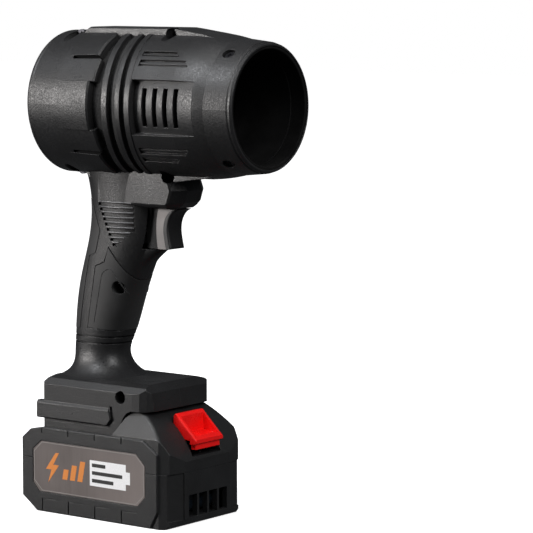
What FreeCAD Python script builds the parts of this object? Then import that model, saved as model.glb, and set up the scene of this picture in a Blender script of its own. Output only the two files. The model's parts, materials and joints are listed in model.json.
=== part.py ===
import FreeCAD, Part
import math
import os

# Cordless leaf blower: a turbine barrel on a pistol grip, with a slide-on battery pack as its foot.
# Millimetres. +X is the way the air leaves, +Z is up, and -Y is the operator's right.
# Inside this file x is measured from the rear face of the battery pack and z from its base.
# `save` moves every piece so that the origin is the middle of the pack's base.

# ---- driving dimensions -------------------------------------------------------------------
PACK_LENGTH = 117.4
PACK_HALF = 37.5
PACK_SPLIT_Z = 33.2
LEDGE_Z = 50.2
PACK_TOP_Z = 67.6
SHOULDER_ROUND = 3.0
FRAME_FRONT = 108.4
FRAME_TOP_Z = 52.9
FRAME_STEP = 1.3

FOOT_HALF = 31.5
FOOT_REAR = 10.4
FOOT_FRONT = 96.8
FOOT_BOTTOM_Z = 50.8
FOOT_TOP_Z = 84.0
CHANNEL_TOP_Z = 68.4
RAIL_HEAD_Z = 59.5
RAIL_HEAD_HALF = 26.7
RAIL_NECK_HALF = 23.3
RAIL_GAP = 0.6

AXIS_Z = 251.3
BARREL_REAR = 9.2
BARREL_FRONT = 164.7
BAND_R = 40.8
RING_R = 44.2
BODY_R = 43.8
BELL_R = 44.6
SHELL_BORE_R = 39.4
WINDOW_BORE_R = 38.0
DUCT_R = 34.7
DUCT_WALL = 2.0
LINER_BORE_R = 34.4
LINER_WALL = 1.8
LINER_STEP_X = 154.0
DUCT_REAR = 34.0
DUCT_FRONT = 112.0
RAIL_TOP = 46.0
RAIL_HALF = 13.6
SWEEP = 0.205
SWEEP_HALF = 44.0

POD_R = 17.2
POD_WALL = 1.8
POD_REAR = 62.0
POD_FRONT = 104.0
SHAFT_R = 2.5
BEARING_R = 6.5
BEARING_WIDTH = 4.0
BLADES = 11
VANES = 9
BLADE_TIP_R = 34.1
STACK_REAR = 72.0
STACK_FRONT = 92.0
STACK_BORE_R = 8.6
LEAD_R = 1.1
LEAD_X = 100.4
LEAD_Y = (-4.0, 0.0, 4.0)

WALL = 2.4
GRIP_SKIN = 1.0
GROOVE_DEPTH = 1.4
TRIGGER_HALF = 7.0
TRIGGER_GAP = 0.5
TRIGGER_BOTTOM_Z = 164.2
TRIGGER_TOP_Z = 188.6
BLOCK_BOTTOM_Z = 189.3
BUTTON_HALF = 13.0
BUTTON_REAR = 100.8
SWITCH_FRONT = 68.4
SWITCH_AXIS_Z = 185.2
SPRING_AXIS_Z = 174.5

SCREW_R = 1.4
SCREW_HEAD_R = 3.2
SCREW_HOLE_R = 3.9
BOSS_R = 5.3
PACK_SCREW_HEAD_R = 2.8
NOZZLE_SCREW_X = 152.0
NOZZLE_SEAT_R = 37.3
SCREW_TIP_Y = 8.5

CELL_R = 9.2
CELL_LENGTH = 65.0

# Grip sections: height, rear x, front x and half width. The grip leans forward as it rises,
# and flares into the foot below the neck.
GRIP = [
    (83.0, 9.5, 65.5, 26.0),
    (86.0, 14.2, 58.5, 21.2),
    (90.0, 16.9, 54.4, 17.8),
    (97.0, 17.7, 51.6, 15.5),
    (109.6, 18.1, 56.0, 15.6),
    (132.4, 20.0, 64.6, 15.9),
    (150.0, 23.9, 71.6, 16.0),
    (165.0, 28.2, 78.2, 16.2),
    (176.0, 30.5, 81.0, 16.4),
    (188.0, 31.2, 82.5, 16.6),
    (200.0, 29.8, 84.0, 16.8),
    (214.0, 24.4, 90.0, 17.5),
]

# The lip below the trigger, as the same four numbers.
LIP = [
    (142.0, 40.0, 67.4, 13.0),
    (150.0, 41.0, 71.4, 12.4),
    (155.0, 42.5, 75.2, 11.0),
    (159.5, 44.0, 80.6, 9.4),
    (163.5, 46.0, 86.0, 8.3),
]

# Clamshell screws, all along Y: x, z and the y of the head's seat.
SHELL_SCREWS = [
    (26.0, AXIS_Z + 41.0, -6.5),
    (101.0, AXIS_Z + 42.0, -5.6),
    (99.0, AXIS_Z - 42.4, -5.6),
    (26.0, AXIS_Z - 41.0, -6.5),
    (58.6, 139.5, -6.5),
    (75.0, 75.8, -14.0),
]

# Pack screws, driven up from below: x, y and the z of the head's seat.
PACK_SCREWS = [(7.0, -26.0, 7.0), (7.0, 26.0, 7.0), (108.6, -25.0, 4.4), (108.6, 25.0, 4.4)]

CELL_ROWS_Z = (12.4, 31.2)
CELL_FIRST_X = 19.2
CELL_PITCH = 18.9
PILLAR_R = 2.9
TERMINAL_Y = (-10.5, -3.5, 3.5, 10.5)


# ---- helpers ------------------------------------------------------------------------------
def v(x, y, z):
    return FreeCAD.Vector(x, y, z)


def block(x0, x1, y0, y1, z0, z1):
    return Part.makeBox(x1 - x0, y1 - y0, z1 - z0, v(x0, y0, z0))


def face_of(corners):
    return Part.Face(Part.makePolygon(corners + corners[:1]))


def prism_y(outline, y0, y1):
    """Extrude an (x, z) outline along Y."""
    return face_of([v(x, y0, z) for x, z in outline]).extrude(v(0, y1 - y0, 0))


def prism_x(outline, x0, x1):
    """Extrude a (y, z) outline along X."""
    return face_of([v(x0, y, z) for y, z in outline]).extrude(v(x1 - x0, 0, 0))


def prism_z(outline, z0, z1):
    """Extrude an (x, y) outline along Z."""
    return face_of([v(x, y, z0) for x, y in outline]).extrude(v(0, 0, z1 - z0))


def rod(start, end, radius):
    run = end - start
    return Part.makeCylinder(radius, run.Length, start, run)


def rod_y(x, z, y0, y1, radius):
    return Part.makeCylinder(radius, y1 - y0, v(x, y0, z), v(0, 1, 0))


def barrel_rod(x0, x1, radius):
    return Part.makeCylinder(radius, x1 - x0, v(x0, 0, AXIS_Z), v(1, 0, 0))


def barrel_ring(x0, x1, outer, inner):
    return barrel_rod(x0, x1, outer).cut(barrel_rod(x0 - 1, x1 + 1, inner))


def turned(outline, start=0.0, sweep=360.0):
    """Turn an (x, radius) outline about the barrel's axis.

    Angle 0 is the right side (-Y) and 90 is the top. An entry of four numbers is an arc
    through its first point to its second.
    """
    points = [v(p[-2], -p[-1], AXIS_Z) for p in outline]
    edges = []
    for i, entry in enumerate(outline):
        before = points[i - 1]
        if len(entry) == 4:
            middle = v(entry[0], -entry[1], AXIS_Z)
            edges.append(Part.Arc(before, middle, points[i]).toShape())
        else:
            edges.append(Part.LineSegment(before, points[i]).toShape())
    face = Part.Face(Part.Wire(edges))
    axis_point = v(0, 0, AXIS_Z)
    face.rotate(axis_point, v(1, 0, 0), -start)
    return face.revolve(axis_point, v(-1, 0, 0), sweep)


def around(shape, angle):
    copy = shape.copy()
    copy.rotate(v(0, 0, AXIS_Z), v(-1, 0, 0), angle)
    return copy


def fused(shapes):
    return shapes[0].multiFuse(shapes[1:]).removeSplitter()


def group(shapes):
    return Part.makeCompound(shapes)


def mirrored(shape):
    return shape.mirror(v(0, 0, 0), v(0, 1, 0))


def save(name, shape):
    placed = shape.copy()
    placed.translate(v(-PACK_LENGTH / 2, 0, 0))
    placed.exportStep("parts/" + name + ".step")
    solids = len(placed.Solids)
    print("%-24s solids %2d  volume %9.0f  valid %s" % (name, solids, placed.Volume, placed.isValid()))


def spline_section(z, rear, front, half, grow):
    """A closed, slightly squared oval."""
    count = 28
    squareness = 2.0 / 2.35
    centre = (rear + front) / 2
    a = (front - rear) / 2 + grow
    b = half + grow
    points = []
    for i in range(count):
        t = 2 * math.pi * i / count
        c = math.cos(t)
        s = math.sin(t)
        x = centre + a * math.copysign(abs(c) ** squareness, c)
        y = b * math.copysign(abs(s) ** squareness, s)
        points.append(v(x, y, z))
    curve = Part.BSplineCurve()
    curve.interpolate(Points=points, PeriodicFlag=True)
    return Part.Wire(curve.toShape())


def loft_of(sections, grow, lowest=0.0):
    wires = [spline_section(z, rear, front, half, grow) for z, rear, front, half in sections if z >= lowest]
    return Part.makeLoft(wires, True, False)


def grip_loft(grow, lowest=0.0):
    return loft_of(GRIP, grow, lowest)


def bent_tube(points, radius, bend):
    """A tube along straight runs joined by tangent arcs of one radius."""
    edges = []
    here = points[0]
    for before, corner, after in zip(points, points[1:], points[2:]):
        a = (before - corner).normalize()
        b = (after - corner).normalize()
        half_turn = (math.pi - a.getAngle(b)) / 2
        reach = bend * math.tan(half_turn)
        start = corner + a * reach
        end = corner + b * reach
        middle_way = (a + b).normalize()
        middle = corner + middle_way * (bend / math.cos(half_turn) - bend)
        edges.append(Part.LineSegment(here, start).toShape())
        edges.append(Part.Arc(start, middle, end).toShape())
        here = end
    edges.append(Part.LineSegment(here, points[-1]).toShape())
    path = Part.Wire(edges)
    section = Part.Wire(Part.makeCircle(radius, points[0], points[1] - points[0]))
    return path.makePipeShell([section], True, False)


def coil_spring(start, direction, length, turns, radius, wire):
    """A compression spring along `direction`, with its wire's ends cut square."""
    helix = Part.makeHelix(length / turns, length, radius)
    section = Part.Wire(Part.makeCircle(wire, v(radius, 0, 0), v(0, 1, 0)))
    spring = Part.Wire(helix).makePipeShell([section], True, True)
    turn = FreeCAD.Rotation(v(0, 0, 1), direction)
    spring.Placement = FreeCAD.Placement(start, turn)
    return spring


# ---- housing: the two clamshell halves ------------------------------------------------------
def barrel_outside():
    """Bell, ring, body and tapering nozzle as one turned shape, without the grooves."""
    outline = [
        (BARREL_REAR, 0.0),
        (BARREL_REAR, 39.6),
        (10.2, 40.6),
        (12.0, 40.8),
        (12.0, 42.2),
        (13.0, 43.2, 15.5, 43.5),
        (36.0, BELL_R - 0.2),
        (50.0, BELL_R),
        (50.2, RING_R),
        (96.0, RING_R),
        (96.2, BODY_R),
        (124.0, BODY_R - 0.2),
        (136.0, 42.3, 146.0, 40.3),
        (161.6, 38.7),
        (162.0, 38.1),
        (163.6, 38.1),
        (BARREL_FRONT, 37.2),
        (BARREL_FRONT, 0.0),
    ]
    return turned(outline)


def swept_back(x0, x1, radius):
    """What lies outside `radius` between two planes that lean back from the side to the parting line."""
    outer = SWEEP_HALF + 4.0
    side_shift = SWEEP * (outer - SWEEP_HALF)
    lean = SWEEP * SWEEP_HALF
    plan = [(x0 + side_shift, -outer), (x1 + side_shift, -outer), (x1 - lean, 0), (x0 - lean, 0)]
    ring = barrel_ring(x0 - lean - 1, x1 + side_shift + 1, outer, radius)
    return ring.common(prism_z(plan, AXIS_Z - outer, AXIS_Z + outer))


def ring_grooves():
    """The recessed band and the stepped ribs, which sweep back from each side in a shallow V."""
    steps = ((55.0, 72.2, BAND_R), (76.2, 79.6, 41.4), (79.6, 82.5, 42.8), (82.5, 85.8, RING_R - 0.2),
             (85.8, 89.7, 41.6), (93.4, 108.0, BODY_R))
    return [swept_back(x0, x1, radius) for x0, x1, radius in steps]


def petals():
    """Armour-like plates that carry the bell forward over the band, on the right side."""
    front_edge = 0.9
    plates = []
    for low, high, front, lift in ((-19, 19, 62.0, 1.0), (19, 38, 65.1, 0.4), (-38, -19, 65.1, 0.4),
                                   (41, 66, 62.5, 1.0), (-66, -41, 62.5, 1.0),
                                   (66, 91, 59.5, 0.1), (-91, -66, 59.5, 0.1)):
        outline = [
            (33.0, BELL_R - 0.4),
            (front - front_edge, BELL_R + lift),
            (front, BELL_R + lift - front_edge),
            (front + 0.3, BAND_R - 1.0),
            (33.0, BAND_R - 1.0),
        ]
        plates.append(turned(outline, low, high - low))
    return plates


def side_rail(side):
    """The raised bar over the parting line, on top (side 1) or below (side -1)."""
    outline = [
        (33.5, AXIS_Z + side * 38.0),
        (33.5, AXIS_Z + side * (RAIL_TOP - 3.2)),
        (38.0, AXIS_Z + side * RAIL_TOP),
        (98.5, AXIS_Z + side * RAIL_TOP),
        (125.0, AXIS_Z + side * 42.4),
        (142.0, AXIS_Z + side * 38.6),
        (142.0, AXIS_Z + side * 37.0),
    ]
    crown = [
        (0.0, AXIS_Z + side * 36.0),
        (-RAIL_HALF, AXIS_Z + side * 36.0),
        (-RAIL_HALF, AXIS_Z + side * (RAIL_TOP - 0.9)),
        (-RAIL_HALF + 0.9, AXIS_Z + side * (RAIL_TOP - 0.1)),
        (0.0, AXIS_Z + side * (RAIL_TOP + 0.3)),
    ]
    return prism_y(outline, -RAIL_HALF - 1, 0).common(prism_x(crown, 30, 150))


def handle_block():
    """The block above the trigger, with a chevron-shaped nose and flat cheeks."""
    wires = []
    for y, setback in ((-16.0, 7.0), (-15.2, 5.6), (-7.0, 0.0), (0.0, 0.0)):
        outline = [
            (45.0, 189.0),
            (100.6 - setback, BLOCK_BOTTOM_Z),
            (103.4 - setback, 191.0),
            (105.6 - setback, 193.2),
            (107.9 - setback, 200.4),
            (106.2 - setback, 205.0),
            (103.0 - setback, 214.0),
            (45.0, 214.0),
        ]
        corners = [v(x, y, z) for x, z in outline]
        wires.append(Part.makePolygon(corners + corners[:1]))
    nose = Part.makeLoft(wires, True, True)
    bevel = [(0, 215), (-17, 215), (-17, 193.6), (-15.0, 190.6), (-12.4, BLOCK_BOTTOM_Z),
             (0, BLOCK_BOTTOM_Z)]
    return nose.common(prism_x(bevel, 40, 112))


def trigger_lip():
    """The nose of the grip below the trigger, which grows out of its front."""
    return loft_of(LIP, 0.0).common(block(30, 100, -30, 0, 140, 170))


def foot_outside():
    """The foot that takes the pack: a chamfered box with a bulged side panel and belt."""
    side = [
        (FOOT_REAR, FOOT_BOTTOM_Z),
        (70.1, FOOT_BOTTOM_Z),
        (77.4, 63.6),
        (79.5, 66.4),
        (82.9, 68.0),
        (FOOT_FRONT, 68.2),
        (FOOT_FRONT - 1.5, 79.5),
        (FOOT_FRONT - 6.0, FOOT_TOP_Z),
        (16.0, FOOT_TOP_Z),
        (FOOT_REAR, 77.5),
    ]
    plan = [
        (FOOT_REAR, 0),
        (FOOT_REAR, -FOOT_HALF + 3.5),
        (FOOT_REAR + 3.5, -FOOT_HALF),
        (84.0, -FOOT_HALF),
        (89.4, -FOOT_HALF + 0.6),
        (93.6, -FOOT_HALF + 2.6),
        (FOOT_FRONT - 0.6, -FOOT_HALF + 6.0),
        (FOOT_FRONT, -FOOT_HALF + 9.5),
        (FOOT_FRONT, 0),
    ]
    crown = [
        (0, FOOT_BOTTOM_Z),
        (-FOOT_HALF, FOOT_BOTTOM_Z),
        (-FOOT_HALF, 78.6),
        (-FOOT_HALF + 3.2, 82.4),
        (-FOOT_HALF + 9.0, FOOT_TOP_Z),
        (0, FOOT_TOP_Z),
    ]
    body = prism_y(side, -FOOT_HALF, 0).common(prism_z(plan, 40, 90))
    body = body.common(prism_x(crown, 0, 100))
    bulge = [
        (-28, 57.5),
        (-FOOT_HALF - 0.6, 57.5),
        (-FOOT_HALF - 1.2, 58.3),
        (-FOOT_HALF - 1.0, 66.8),
        (-FOOT_HALF, 68.4),
        (-28, 68.4),
    ]
    panel_side = [(8.4, 57.5), (64.4, 57.5), (67.6, 61.8), (65.4, 68.4), (8.4, 68.4)]
    panel = prism_x(bulge, 8.0, 70.0).common(prism_y(panel_side, -40, -27))
    belt = block(8.4, FOOT_REAR + 1, -28.5, 0, 58.2, 67.4)
    groove = prism_y([(12, 56.2), (65.6, 56.2), (70.4, 62.0), (68.6, 69.6), (66.6, 69.6), (67.6, 61.8),
                      (64.4, 57.5), (12, 57.5)], -40, -FOOT_HALF + 1.0)
    return body.cut(groove).fuse([panel, belt])


def window_cut():
    """The recess in the side of the barrel: a deep pocket, then a louvred floor that rises flush."""
    half_angle = 22.0
    pocket = turned([(93.4, 39.9), (100.0, 39.9), (100.0, 46.0), (93.4, 46.0)], -half_angle, 2 * half_angle)
    floor = turned([(99.9, 41.0), (140.0, 41.9), (140.0, 46.0), (99.9, 46.0)], -half_angle, 2 * half_angle)
    return pocket.fuse(floor)


def louvre_cuts():
    half_angle = 16.0
    first = 100.6
    pitch = 8.0
    width = 3.5
    cuts = []
    for i in range(4):
        x = first + pitch * i
        slot = [(x, 36), (x + width, 36), (x + width, 46), (x, 46)]
        cuts.append(turned(slot, -half_angle, 2 * half_angle))
    return cuts


def long_slot(low, high, x0, x1, slant):
    """A shallow groove along the barrel with a slanted front end and a thin rib in it."""
    depth_r = BODY_R - 1.7
    cuts = []
    steps = 3
    step = (high - low) / steps
    for i in range(steps):
        end = x1 - slant * i / steps
        rib = 0.9 if i == 1 else 0.0
        ring = [(x0, depth_r + rib), (end, depth_r + rib), (end, 46.0), (x0, 46.0)]
        cuts.append(turned(ring, low + step * i, step))
    return cuts


def barrel_cuts():
    """Everything sunk into the right side of the barrel's surface."""
    cuts = [window_cut()] + louvre_cuts()
    for mirror in (1, -1):
        for low, high, x0, x1, slant in ((33.5, 39.5, 94.6, 130.8, 3.6), (43.0, 48.0, 93.6, 121.5, 3.6)):
            for cut in long_slot(low, high, x0, x1, slant):
                cuts.append(cut if mirror == 1 else cut.mirror(v(0, 0, AXIS_Z), v(0, 0, 1)))
        slot = turned([(41.0, BAND_R + 0.2), (69.0, BAND_R + 0.2), (69.0, 48.0), (43.6, 48.0)], 38.0, 3.0)
        cuts.append(slot if mirror == 1 else slot.mirror(v(0, 0, AXIS_Z), v(0, 0, 1)))
    return cuts


def thumb_ribs(skin):
    """Grooves as deep as `skin` on the cheek of the grip, which leave a tapering stack of ribs."""
    cuts = []
    count = 9
    straight = 6
    for i in range(count):
        z = 190.2 - 3.05 * i
        left = 45.0 + 1.45 * i
        right = 72.2 - 4.2 * max(0, i - straight + 1)
        cuts.append(skin.common(block(left, right, -22, -8, z - 0.8, z + 0.8)))
    return cuts


def neck_grooves(skin):
    return [skin.common(block(0, 100, -40, 0, z, z + 1.0)) for z in (103.6, 107.6)]


def rear_pad_outline():
    return [(0, 193.0), (37.6, 193.0), (38.4, 191.2), (46.5, 173.8), (42.5, 160.1), (36.2, 157.9),
            (28.6, 112.9), (0, 111.0)]


def palm_panel_outline():
    return [(53.5, 164.5), (49.5, 155.0), (42.2, 152.0), (35.5, 113.4), (80.0, 110.5), (80.0, 129.0)]


def nozzle_screw_axis(angle):
    turn = math.radians(angle)
    return v(NOZZLE_SCREW_X, 0, AXIS_Z), v(0, -math.cos(turn), math.sin(turn))


def screw_recess(x, z, seat):
    """A counterbore from the right side down to the head's seat, and the pilot hole beyond it."""
    return rod_y(x, z, -60, seat, SCREW_HOLE_R).fuse(rod_y(x, z, seat - 1, 9.0, SCREW_R))


def inside_space():
    """What is hollow in the housing, for y below 0."""
    barrel = turned([
        (0, 0), (0, 37.6), (10.6, 37.6), (10.6, 40.8), (33.8, 40.8), (35.0, SHELL_BORE_R),
        (93.0, SHELL_BORE_R), (94.0, WINDOW_BORE_R), (140.0, WINDOW_BORE_R), (147.0, 36.3),
        (170.0, 36.3), (170.0, 0),
    ], -91.0, 182.0)
    grip = grip_loft(-WALL, 86.0).common(block(0, 90, -30, 0, 86.5, 213))
    neck = block(20.0, 49.0, -11.0, 0, 81.0, 87.5)
    lead_trough = block(56.0, 103.0, -6.5, 0, 210.6, 215.0)
    foot = block(13.0, 88.0, -27.8, 0, 70.8, 81.4)
    channel = fused([
        block(13.4, 120, -RAIL_HEAD_HALF - RAIL_GAP, 1, RAIL_HEAD_Z - RAIL_GAP, CHANNEL_TOP_Z),
        block(13.4, 120, -RAIL_NECK_HALF - RAIL_GAP, 1, 40, RAIL_HEAD_Z),
    ])
    block_port = block(17.6, 44.4, -14.4, 0, 66, 72)
    latch_pocket = block(83.6, 90.4, -11.0, 0, 66, 71.5)
    trigger_mouth = block(70, 112, -TRIGGER_HALF - TRIGGER_GAP, 0, 163.7, BLOCK_BOTTOM_Z - 0.1)
    switch_room = block(42, 80, -9.5, 0, 163.7, BLOCK_BOTTOM_Z - 0.1)
    return [barrel, grip, neck, lead_trough, foot, channel, block_port, latch_pocket, trigger_mouth,
            switch_room]


def bosses():
    """Screw pillars in the bell and across the hollow grip and foot, kept inside the walls."""
    bell_wall = barrel_ring(20.0, 32.0, BODY_R, 39.4)
    in_bell = []
    for x, z, seat in (SHELL_SCREWS[0], SHELL_SCREWS[3]):
        in_bell.append(rod_y(x, z, -14.0, 0, BOSS_R).common(bell_wall))
    (grip_x, grip_z, grip_seat), (foot_x, foot_z, foot_seat) = SHELL_SCREWS[4:]
    in_grip = rod_y(grip_x, grip_z, -14.0, 0, BOSS_R).common(grip_loft(-GRIP_SKIN - 0.3))
    in_foot = rod_y(foot_x, foot_z, -28.0, 0, BOSS_R).common(block(13, 92, -30, 0, 69.0, 83.0))
    return in_bell + [in_grip, in_foot]


def shell_half():
    """The right half of the housing without its screw holes."""
    right_side = block(-10, 200, -60, 0, 30, 320)
    loft = grip_loft(0.0)
    barrel = barrel_outside().common(right_side).cut(ring_grooves())
    outside = [barrel] + petals()
    outside += [side_rail(1), side_rail(-1), handle_block(), trigger_lip(), foot_outside()]
    outside.append(loft.common(right_side))
    shell = outside[0].multiFuse(outside[1:]).common(right_side)
    skin = loft.common(right_side).cut(grip_loft(-GROOVE_DEPTH))
    over_pads = grip_loft(2.5).common(right_side).cut(grip_loft(-GRIP_SKIN))
    pads = [over_pads.common(prism_y(rear_pad_outline(), -40, 0)),
            over_pads.common(prism_y(palm_panel_outline(), -40, 0))]
    shell = shell.cut(barrel_cuts() + thumb_ribs(skin) + pads + neck_grooves(skin))
    shell = shell.cut(inside_space())
    shell = shell.fuse(bosses())
    for x, z, seat in SHELL_SCREWS:
        shell = shell.cut(rod_y(x, z, -9.0, 9.0, SCREW_R))
    for angle in (54, -54):
        centre, way = nozzle_screw_axis(angle)
        shell = shell.cut(rod(centre + way * NOZZLE_SEAT_R, centre + way * 50, SCREW_HOLE_R))
        shell = shell.cut(rod(centre + way * 30, centre + way * 39, SCREW_R))
    return shell


def largest(shape):
    return max(shape.Solids, key=lambda s: s.Volume)


def housing():
    half = largest(shell_half())
    right = half
    for x, z, seat in SHELL_SCREWS:
        right = right.cut(screw_recess(x, z, seat))
    save("shell_right", largest(right))
    save("shell_left", mirrored(half))
    gap = 0.35
    loft = grip_loft(0.15)
    skin = loft.cut(grip_loft(-GRIP_SKIN))
    rear = [(x - gap if x > 1 else x, z) for x, z in rear_pad_outline()]
    rear[0] = (0, 193.0 - gap)
    rear[1] = (37.6 - gap, 193.0 - gap)
    pad = skin.common(prism_y(rear, -40, 40))
    save("rear_grip_pad", largest(pad))
    outline = [(53.3, 163.6), (50.0, 154.7), (42.7, 151.7), (35.95, 113.8), (80.0, 110.95), (80.0, 128.3)]
    panel = skin.common(prism_y(outline, -40, 0))
    grip_x, grip_z, grip_seat = SHELL_SCREWS[4]
    right_panel = largest(panel).cut(rod_y(grip_x, grip_z, -60, 0, SCREW_HOLE_R + 0.1))
    save("palm_panel_right", largest(right_panel))
    save("palm_panel_left", mirrored(largest(panel)))


# ---- air path -------------------------------------------------------------------------------
def intake_guard():
    """The finger guard at the rear: rings on spokes around a small hub."""
    x0 = 11.0
    x1 = 13.4
    pieces = [barrel_ring(x0, x1, 40.5, 36.4), barrel_rod(x0, x1, 6.0)]
    for radius in (11.0, 17.0, 23.0, 29.0):
        pieces.append(barrel_ring(x0, x1, radius + 1.5, radius))
    for i in range(8):
        pieces.append(around(block(x0, x1, -37.0, -5.0, AXIS_Z - 0.9, AXIS_Z + 0.9), 45.0 * i + 22.5))
    save("intake_guard", fused(pieces))


def inlet_bellmouth():
    outline = [
        (13.6, 40.4),
        (13.6, 39.4),
        (19.5, 36.4, 33.8, DUCT_R),
        (33.8, DUCT_R + DUCT_WALL),
        (24.0, DUCT_R + DUCT_WALL + 0.6),
        (16.6, 40.4),
    ]
    save("inlet_bellmouth", turned(outline))


def vane(angle):
    """One straight stator vane from the motor pod to the duct wall."""
    plate = prism_z([(66, 0.7), (69, 1.2), (98, 0.5), (98, -0.5), (69, -1.2), (66, -0.7)],
                    AXIS_Z + POD_R - 0.8, AXIS_Z + DUCT_R + 0.8)
    return around(plate, angle)


def lead_holes():
    return [rod(v(LEAD_X, y, AXIS_Z - 40), v(LEAD_X, y, AXIS_Z - 10), LEAD_R + 0.3) for y in LEAD_Y]


def stator():
    """Duct tube, motor pod and the vanes between them, with lead holes at the bottom."""
    duct = barrel_ring(DUCT_REAR, DUCT_FRONT, DUCT_R + DUCT_WALL, DUCT_R)
    save("duct_tube", duct.cut(lead_holes()))
    pod = barrel_ring(POD_REAR, POD_FRONT, POD_R, POD_R - POD_WALL)
    wall = barrel_ring(POD_REAR, POD_REAR + 6.0, POD_R - 0.5, BEARING_R)
    seat = barrel_ring(POD_REAR, POD_REAR + 1.6, BEARING_R + 0.5, SHAFT_R + 1.0)
    save("motor_pod", fused([pod, wall, seat]).cut(lead_holes()))
    gap = barrel_ring(POD_REAR, POD_FRONT, DUCT_R, POD_R)
    vanes = [vane(360.0 * i / VANES + 20.0).common(gap) for i in range(VANES)]
    save("stator_vanes", group(vanes))


def nozzle_liner():
    """The outlet tube inside the nozzle: a wide mouth for a nozzle attachment, then a step."""
    step_r = LINER_BORE_R - 0.8
    outline = [
        (DUCT_FRONT + 0.1, step_r),
        (LINER_STEP_X, step_r),
        (LINER_STEP_X, LINER_BORE_R),
        (BARREL_FRONT - 0.9, LINER_BORE_R),
        (BARREL_FRONT - 0.5, LINER_BORE_R + 0.4),
        (BARREL_FRONT - 0.5, LINER_BORE_R + LINER_WALL),
        (DUCT_FRONT + 0.1, LINER_BORE_R + LINER_WALL),
    ]
    liner = turned(outline)
    for angle in (54, -54, 126, -126):
        centre, way = nozzle_screw_axis(angle)
        liner = liner.cut(rod(centre + way * 34.9, centre + way * 37, SCREW_R))
    save("nozzle_liner", liner)


def tail_cone():
    """The motor's rear cover on the outlet side, drawn out to a point to steady the flow."""
    outline = [
        (POD_FRONT + 0.1, 0.0),
        (POD_FRONT + 0.1, POD_R),
        (118.0, 14.5, 129.0, 5.5),
        (130.6, 2.8),
        (131.0, 0.0),
    ]
    cone = turned(outline)
    spigot = barrel_ring(LEAD_X + 1.4, POD_FRONT + 0.2, POD_R - POD_WALL - 0.1, POD_R - POD_WALL - 1.6)
    save("tail_cone", cone.fuse(spigot).removeSplitter())


# ---- motor and fan --------------------------------------------------------------------------
def motor():
    teeth = 6
    yoke = barrel_ring(STACK_REAR, STACK_FRONT, POD_R - POD_WALL, POD_R - POD_WALL - 1.8)
    stems = []
    for i in range(teeth):
        stem = block(STACK_REAR, STACK_FRONT, -14.0, -STACK_BORE_R - 0.5, AXIS_Z - 1.2, AXIS_Z + 1.2)
        stems.append(around(stem, 360.0 * i / teeth))
    tips = []
    for i in range(teeth):
        section = [(STACK_REAR, STACK_BORE_R), (STACK_FRONT, STACK_BORE_R),
                   (STACK_FRONT, STACK_BORE_R + 1.1), (STACK_REAR, STACK_BORE_R + 1.1)]
        tips.append(turned(section, 360.0 * i / teeth - 20.0, 40.0))
    save("motor_stack", fused([yoke] + stems + tips))
    coils = []
    for i in range(teeth):
        outer = block(STACK_REAR - 2.6, STACK_FRONT + 2.6, -13.2, -STACK_BORE_R - 1.3,
                      AXIS_Z - 3.2, AXIS_Z + 3.2)
        inner = block(STACK_REAR - 0.1, STACK_FRONT + 0.1, -14.2, -STACK_BORE_R, AXIS_Z - 1.3, AXIS_Z + 1.3)
        coils.append(around(outer.cut(inner), 360.0 * i / teeth))
    save("motor_windings", group(coils))
    cap = barrel_ring(97.0, 99.0, POD_R - POD_WALL - 0.05, SHAFT_R + 1.0)
    cap = cap.fuse(barrel_ring(95.0, 97.1, BEARING_R + 1.6, BEARING_R))
    save("motor_end_cap", cap.removeSplitter())


def bearings():
    rear = POD_REAR + 1.6
    for name, x in (("rear_bearing", rear), ("front_bearing", 97.0 - BEARING_WIDTH)):
        ring = barrel_ring(x, x + BEARING_WIDTH, BEARING_R, SHAFT_R + 0.05)
        groove = barrel_ring(x - 0.1, x + 0.4, 5.2, 3.6)
        save(name, ring.cut(groove))


def fan_blade(angle):
    """A twisted blade, steep at the hub and flat at the tip."""
    wires = []
    for radius, chord, pitch in ((13.0, 14.0, 48.0), (24.0, 16.0, 34.0), (36.0, 17.0, 26.0)):
        along = math.sin(math.radians(pitch)) * chord / 2
        across = math.cos(math.radians(pitch)) * chord / 2
        corners = []
        for s, thick in ((-1.0, 0.3), (-0.3, 0.75), (0.4, 0.6), (1.0, 0.2)):
            corners.append((s, thick))
        outline = []
        for s, thick in corners:
            outline.append((46.0 + s * along + thick * 0.7, s * across + 1.2 * (1 - s * s) - thick))
        for s, thick in reversed(corners):
            outline.append((46.0 + s * along - thick * 0.7, s * across + 1.2 * (1 - s * s) + thick))
        points = [v(x, y, AXIS_Z + radius) for x, y in outline]
        wires.append(Part.makePolygon(points + points[:1]))
    blade = Part.makeLoft(wires, True, True)
    blade = blade.common(barrel_rod(30, 60, BLADE_TIP_R))
    return around(blade, angle)


def fan():
    hub = turned([(38.0, SHAFT_R), (38.0, 9.0), (40.0, 12.4, 44.0, 14.6), (60.4, 16.6), (60.4, 15.0),
                  (46.0, 13.2), (46.0, 5.5), (60.4, 5.0), (60.4, SHAFT_R)])
    blades = [fan_blade(360.0 * i / BLADES) for i in range(BLADES)]
    inside = barrel_rod(30, 62, 13.3)
    blades = [b.cut(inside) for b in blades]
    save("impeller", largest(fused([hub] + blades)))
    save("motor_shaft", barrel_rod(30.5, 100.5, SHAFT_R))
    rotor = barrel_ring(STACK_REAR - 0.5, STACK_FRONT + 0.2, 8.0, SHAFT_R)
    notches = []
    for i in range(4):
        notches.append(around(block(60, 95, -9, -7.2, AXIS_Z - 0.5, AXIS_Z + 0.5), 90.0 * i + 45))
    save("rotor_magnet", rotor.cut(notches))
    corners = []
    for i in range(6):
        turn = math.radians(60 * i)
        corners.append((4.6 * math.cos(turn), AXIS_Z + 4.6 * math.sin(turn)))
    nut = prism_x(corners, 33.6, 37.9).cut(barrel_rod(33, 39, SHAFT_R))
    save("impeller_nut", nut)


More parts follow.
